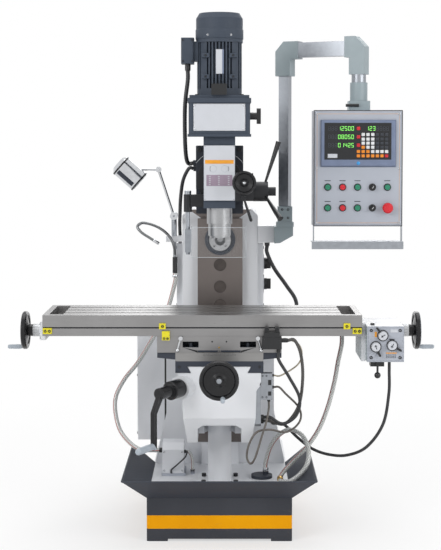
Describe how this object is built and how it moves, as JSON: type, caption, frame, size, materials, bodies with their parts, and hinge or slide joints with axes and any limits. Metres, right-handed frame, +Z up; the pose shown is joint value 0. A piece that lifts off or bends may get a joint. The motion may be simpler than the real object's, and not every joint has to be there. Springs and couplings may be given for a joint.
{
  "type": "universal knee milling machine",
  "caption": "Universal knee mill: tilting vertical head on a sliding ram, horizontal spindle in the column, swivelling power-feed table, swing-arm control panel, chip tray",
  "frame": {"origin": "on the floor, at the middle of the anchor-hole pattern under the base", "axes": "+X to the operator's right along the table, +Y to the back, +Z up"},
  "size_m": [1.649, 1.2391, 2.003],
  "materials": {
    "base_paint": "satin grey paint",
    "white_paint": "satin white paint",
    "black_metal": "black paint",
    "ground_steel": "ground",
    "chrome": "polished",
    "yellow_paint": "gloss yellow paint",
    "dial": "satin",
    "slate_paint": "satin slate paint",
    "clear_plastic": "clear",
    "arm_alloy": "anodised",
    "panel_paint": "satin grey paint",
    "hose": "clear braided hose",
    "cable": "matte sheath",
    "green_plastic": "gloss",
    "red_plastic": "gloss",
    "black_plastic": "matte"
  },
  "bodies": {
    "base": {"base_plinth": "base_paint", "chip_tray": "base_paint", "column": "white_paint", "column_fittings": "black_metal", "cabinet": "white_paint", "screw_housing": "white_paint", "coolant_pump": "white_paint", "panel_bracket": "white_paint", "base_lines": "hose"},
    "horizontal_spindle": {"horizontal_spindle": "ground_steel"},
    "speed_knob_upper": {"speed_knob_upper": "black_metal"},
    "speed_knob_lower": {"speed_knob_lower": "black_metal"},
    "knee": {"knee": "white_paint", "knee_screw": "ground_steel", "switch_cables": "cable"},
    "knee_crank": {"knee_crank": "black_metal"},
    "cross_wheel": {"cross_handwheel": "black_metal"},
    "saddle": {"saddle": "ground_steel"},
    "swivel": {"swivel_block": "ground_steel", "limit_switch": "black_metal"},
    "clamp_left": {"clamp_lever_left": "chrome"},
    "clamp_right": {"clamp_lever_right": "chrome"},
    "table": {"table": "ground_steel", "table_screw": "ground_steel", "table_stops": "yellow_paint", "end_housings": "white_paint", "table_lines": "hose"},
    "wheel_left": {"handwheel_left": "black_metal"},
    "wheel_right": {"handwheel_right": "black_metal"},
    "feed_speed": {"feed_lever_speed": "dial"},
    "feed_mode": {"feed_lever_mode": "dial"},
    "feed_range": {"feed_lever_range": "dial"},
    "feed_ball": {"feed_ball_lever": "black_metal"},
    "ram": {"ram": "black_metal", "motor_cable": "cable"},
    "head": {"head_casting": "slate_paint", "belt_housing": "slate_paint", "motor_body": "slate_paint", "fan_cover": "slate_paint"},
    "quill": {"quill": "ground_steel"},
    "vertical_spindle": {"vertical_spindle": "ground_steel"},
    "quill_levers": {"quill_levers": "black_metal"},
    "fine_wheel": {"fine_feed_wheel": "black_metal"},
    "quill_lock": {"quill_lock": "black_metal"},
    "belt_lever": {"belt_lever": "black_metal"},
    "guard": {"chip_guard": "clear_plastic"},
    "lamp_arm": {"lamp_arm": "chrome"},
    "lamp_head": {"lamp_head": "chrome"},
    "panel_arm": {"panel_arm": "arm_alloy"},
    "panel": {"control_panel": "panel_paint"},
    "button_coolant_on": {"button_coolant_on": "green_plastic"},
    "button_coolant_off": {"button_coolant_off": "red_plastic"},
    "button_jog": {"button_jog": "green_plastic"},
    "button_start": {"button_start": "green_plastic"},
    "button_spindle_on": {"button_spindle_on": "green_plastic"},
    "button_spindle_off": {"button_spindle_off": "red_plastic"},
    "button_feed": {"button_feed": "green_plastic"},
    "emergency_stop": {"emergency_stop": "red_plastic"},
    "selector_upper": {"selector_upper": "black_plastic"},
    "selector_lower": {"selector_lower": "black_plastic"}
  },
  "joints": [
    {"name": "horizontal_spindle_turn", "type": "hinge", "parent": "base", "child": "horizontal_spindle", "pos_m": [0, 0, 1.108], "axis": [0, 1, 0], "continuous": true},
    {"name": "speed_knob_upper_turn", "type": "hinge", "parent": "base", "child": "speed_knob_upper", "pos_m": [0.181, 0.101, 1.003], "axis": [1, 0, 0], "range_deg": [-60, 60]},
    {"name": "speed_knob_lower_turn", "type": "hinge", "parent": "base", "child": "speed_knob_lower", "pos_m": [0.181, 0.101, 0.917], "axis": [1, 0, 0], "range_deg": [-60, 60]},
    {"name": "knee_lift", "type": "slide", "parent": "base", "child": "knee", "axis": [0, 0, 1], "range_m": [-0.1, 0.2], "deforming": ["table_lines"]},
    {"name": "knee_crank_turn", "type": "hinge", "parent": "knee", "child": "knee_crank", "pos_m": [-0.175, -0.544, 0.59], "axis": [-0.5, -0.866, 0], "continuous": true},
    {"name": "cross_wheel_turn", "type": "hinge", "parent": "knee", "child": "cross_wheel", "pos_m": [0, -0.644, 0.644], "axis": [0, 1, 0], "continuous": true},
    {"name": "saddle_slide", "type": "slide", "parent": "knee", "child": "saddle", "axis": [0, -1, 0], "range_m": [-0.1, 0.1], "deforming": ["switch_cables", "table_lines"]},
    {"name": "swivel_turn", "type": "hinge", "parent": "saddle", "child": "swivel", "pos_m": [0, -0.346, 0.722], "axis": [0, 0, -1], "range_deg": [-30, 30], "deforming": ["switch_cables", "table_lines"]},
    {"name": "table_slide", "type": "slide", "parent": "swivel", "child": "table", "axis": [1, 0, 0], "range_m": [-0.23, 0.36], "deforming": ["table_lines"]},
    {"name": "clamp_left_turn", "type": "hinge", "parent": "swivel", "child": "clamp_left", "pos_m": [-0.145, -0.497, 0.778], "axis": [0, 1, 0], "range_deg": [-25, 25]},
    {"name": "clamp_right_turn", "type": "hinge", "parent": "swivel", "child": "clamp_right", "pos_m": [0.145, -0.497, 0.778], "axis": [0, 1, 0], "range_deg": [0, 50]},
    {"name": "wheel_left_turn", "type": "hinge", "parent": "table", "child": "wheel_left", "pos_m": [-0.749, -0.346, 0.786], "axis": [1, 0, 0], "continuous": true},
    {"name": "wheel_right_turn", "type": "hinge", "parent": "table", "child": "wheel_right", "pos_m": [0.76, -0.346, 0.786], "axis": [1, 0, 0], "continuous": true},
    {"name": "feed_speed_turn", "type": "hinge", "parent": "table", "child": "feed_speed", "pos_m": [0.61, -0.526, 0.792], "axis": [0, 1, 0], "range_deg": [-40, 40]},
    {"name": "feed_mode_turn", "type": "hinge", "parent": "table", "child": "feed_mode", "pos_m": [0.584, -0.526, 0.75], "axis": [0, 1, 0], "range_deg": [-40, 40]},
    {"name": "feed_range_turn", "type": "hinge", "parent": "table", "child": "feed_range", "pos_m": [0.645, -0.526, 0.755], "axis": [0, 1, 0], "range_deg": [-40, 40]},
    {"name": "feed_ball_turn", "type": "hinge", "parent": "table", "child": "feed_ball", "pos_m": [0.594, -0.5, 0.68], "axis": [0, 1, 0], "range_deg": [-20, 20]},
    {"name": "ram_slide", "type": "slide", "parent": "base", "child": "ram", "axis": [0, 1, 0], "range_m": [-0.15, 0.15], "deforming": ["motor_cable"]},
    {"name": "head_tilt", "type": "hinge", "parent": "ram", "child": "head", "pos_m": [0, -0.294, 1.365], "axis": [0, -1, 0], "range_deg": [-45, 45], "deforming": ["motor_cable"]},
    {"name": "quill_feed", "type": "slide", "parent": "head", "child": "quill", "axis": [0, 0, 1], "range_m": [-0.12, 0]},
    {"name": "vertical_spindle_turn", "type": "hinge", "parent": "quill", "child": "vertical_spindle", "pos_m": [0, -0.346, 1.153], "axis": [0, 0, 1], "continuous": true},
    {"name": "quill_levers_turn", "type": "hinge", "parent": "head", "child": "quill_levers", "pos_m": [0.163, -0.374, 1.324], "axis": [1, 0, 0], "range_deg": [-232, 2]},
    {"name": "fine_wheel_turn", "type": "hinge", "parent": "head", "child": "fine_wheel", "pos_m": [0.093, -0.504, 1.361], "axis": [0, 1, 0], "continuous": true},
    {"name": "quill_lock_turn", "type": "hinge", "parent": "head", "child": "quill_lock", "pos_m": [0.092, -0.44, 1.302], "axis": [0, 1, 0], "range_deg": [-20, 20]},
    {"name": "belt_lever_turn", "type": "hinge", "parent": "head", "child": "belt_lever", "pos_m": [0.12, -0.356, 1.612], "axis": [1, 0, 0], "range_deg": [-45, 45]},
    {"name": "guard_swing", "type": "hinge", "parent": "head", "child": "guard", "pos_m": [-0.121, -0.38, 1.28], "axis": [0, 0, 1], "range_deg": [-100, 0]},
    {"name": "lamp_arm_swing", "type": "hinge", "parent": "base", "child": "lamp_arm", "pos_m": [-0.192, 0.046, 1.205], "axis": [0, 1, 0], "range_deg": [-20, 30]},
    {"name": "lamp_head_tilt", "type": "hinge", "parent": "lamp_arm", "child": "lamp_head", "pos_m": [-0.255, 0.046, 1.398], "axis": [0, 1, 0], "range_deg": [-40, 40]},
    {"name": "panel_arm_swing", "type": "hinge", "parent": "base", "child": "panel_arm", "pos_m": [0.268, 0.026, 1.244], "axis": [0, 0, 1], "range_deg": [-10, 70]},
    {"name": "panel_turn", "type": "hinge", "parent": "panel_arm", "child": "panel", "pos_m": [0.55628, -0.12407, 1.75], "axis": [0, 0, 1], "range_deg": [-45, 45]},
    {"name": "button_coolant_on_press", "type": "slide", "parent": "panel", "child": "button_coolant_on", "axis": [0, 1, 0], "range_m": [0, 0.004], "stiffness_N_per_m": 400},
    {"name": "button_coolant_off_press", "type": "slide", "parent": "panel", "child": "button_coolant_off", "axis": [0, 1, 0], "range_m": [0, 0.004], "stiffness_N_per_m": 400},
    {"name": "button_jog_press", "type": "slide", "parent": "panel", "child": "button_jog", "axis": [0, 1, 0], "range_m": [0, 0.004], "stiffness_N_per_m": 400},
    {"name": "button_start_press", "type": "slide", "parent": "panel", "child": "button_start", "axis": [0, 1, 0], "range_m": [0, 0.004], "stiffness_N_per_m": 400},
    {"name": "button_spindle_on_press", "type": "slide", "parent": "panel", "child": "button_spindle_on", "axis": [0, 1, 0], "range_m": [0, 0.004], "stiffness_N_per_m": 400},
    {"name": "button_spindle_off_press", "type": "slide", "parent": "panel", "child": "button_spindle_off", "axis": [0, 1, 0], "range_m": [0, 0.004], "stiffness_N_per_m": 400},
    {"name": "button_feed_press", "type": "slide", "parent": "panel", "child": "button_feed", "axis": [0, 1, 0], "range_m": [0, 0.004], "stiffness_N_per_m": 400},
    {"name": "emergency_stop_press", "type": "slide", "parent": "panel", "child": "emergency_stop", "axis": [0, 1, 0], "range_m": [0, 0.005], "stiffness_N_per_m": 400},
    {"name": "selector_upper_turn", "type": "hinge", "parent": "panel", "child": "selector_upper", "pos_m": [0.60428, -0.20207, 1.334], "axis": [0, 1, 0], "range_deg": [-45, 45]},
    {"name": "selector_lower_turn", "type": "hinge", "parent": "panel", "child": "selector_lower", "pos_m": [0.60428, -0.20207, 1.252], "axis": [0, 1, 0], "range_deg": [-45, 45]}
  ],
  "couplings": [
    {"joint": "quill_levers_turn", "follows": "quill_feed", "rad_per_m": 33.333}
  ]
}
